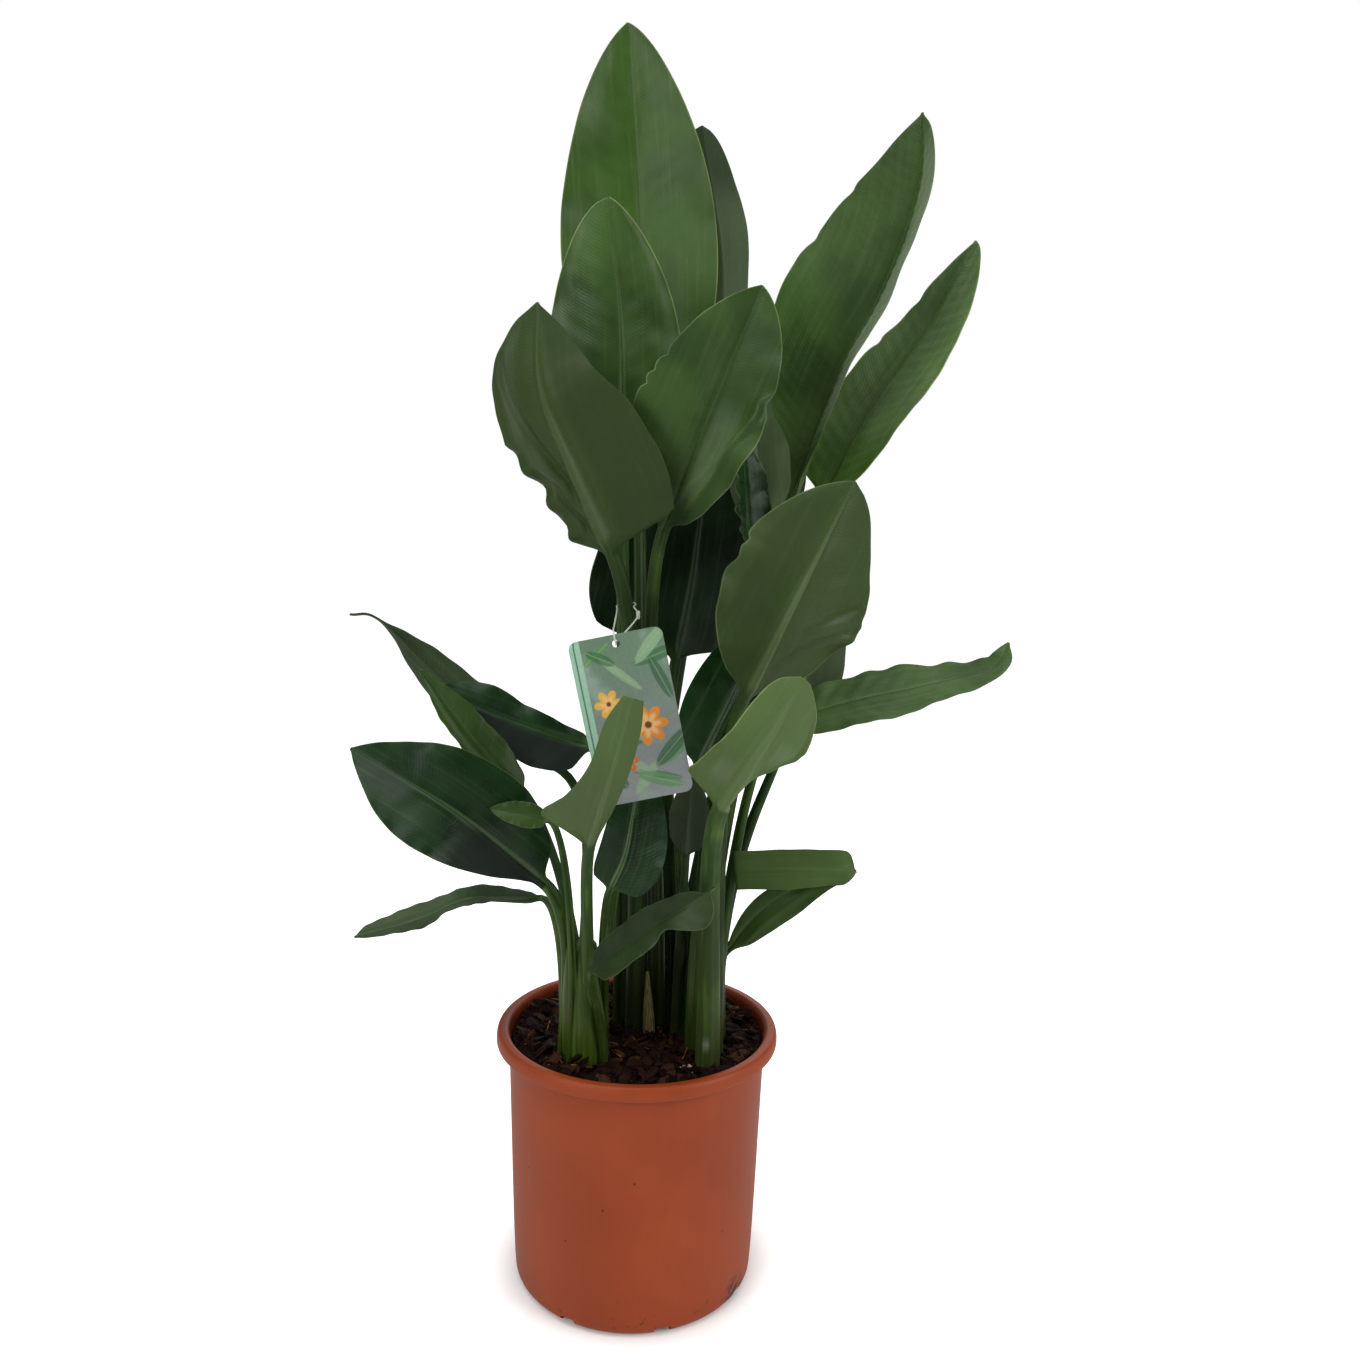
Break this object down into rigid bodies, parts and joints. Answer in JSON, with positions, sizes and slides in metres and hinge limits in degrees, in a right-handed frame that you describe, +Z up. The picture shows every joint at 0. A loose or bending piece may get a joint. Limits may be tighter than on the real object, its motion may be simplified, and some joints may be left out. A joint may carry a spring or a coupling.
{
  "type": "potted bird of paradise",
  "caption": "Foliage houseplant with broad paddle leaves on long stalks, growing from dark bark soil in a round plastic nursery pot, with a hanging plant tag.",
  "frame": {"origin": "centre of the pot's base, on the surface that the pot stands on", "axes": "+Z up; +X to the right and +Y away from the viewer in the picture"},
  "size_m": [0.4266, 0.2494, 0.8321],
  "materials": {
    "pot_plastic": "moulded terracotta-coloured plastic, satin, with specks of soil on the rim",
    "potting_soil": "matt dark peat with bark chips",
    "leaf_bright": "satin fresh green leaf, fine cross veins",
    "leaf_mid": "satin mid green leaf, pale margin",
    "leaf_dark": "glossy dark green leaf, pale midrib",
    "leaf_pale": "matt grey-green leaf underside",
    "leaf_grey": "satin grey-green shaded leaf",
    "dry_sheath": "matt dry olive sheath",
    "tag_card": null,
    "tie_plastic": "thin white plastic tie"
  },
  "bodies": {
    "root": {"pot": "pot_plastic", "leaf_back_tallest": "leaf_bright", "leaf_back_turned": "leaf_grey", "leaf_front_upright": "leaf_mid", "leaf_front_left": "leaf_mid", "leaf_front_middle": "leaf_mid", "leaf_dark_middle": "leaf_dark", "leaf_behind_right": "leaf_grey", "leaf_behind_folded": "leaf_dark", "leaf_dark_low": "leaf_dark", "leaf_low_grey": "leaf_grey", "leaf_right_tall": "leaf_mid", "leaf_right_outer": "leaf_bright", "leaf_right_front": "leaf_mid", "leaf_right_grey": "leaf_grey", "leaf_right_reaching": "leaf_mid", "leaf_front_cupped": "leaf_pale", "leaf_right_bent": "leaf_bright", "leaf_front_furled": "leaf_pale", "leaf_left_broad": "leaf_dark", "leaf_left_drooping": "leaf_mid", "leaf_left_tiny": "leaf_mid", "leaf_under_tag": "leaf_dark", "leaf_low_reaching": "leaf_mid", "leaf_left_upper": "leaf_grey", "leaf_left_shaded": "leaf_dark", "leaf_left_slim": "leaf_mid", "young_rolled_leaf": "leaf_dark", "dry_leaf_sheath": "dry_sheath", "soil": "potting_soil", "plant_tag": "tag_card", "tag_tie": "tie_plastic"}
  },
  "joints": []
}
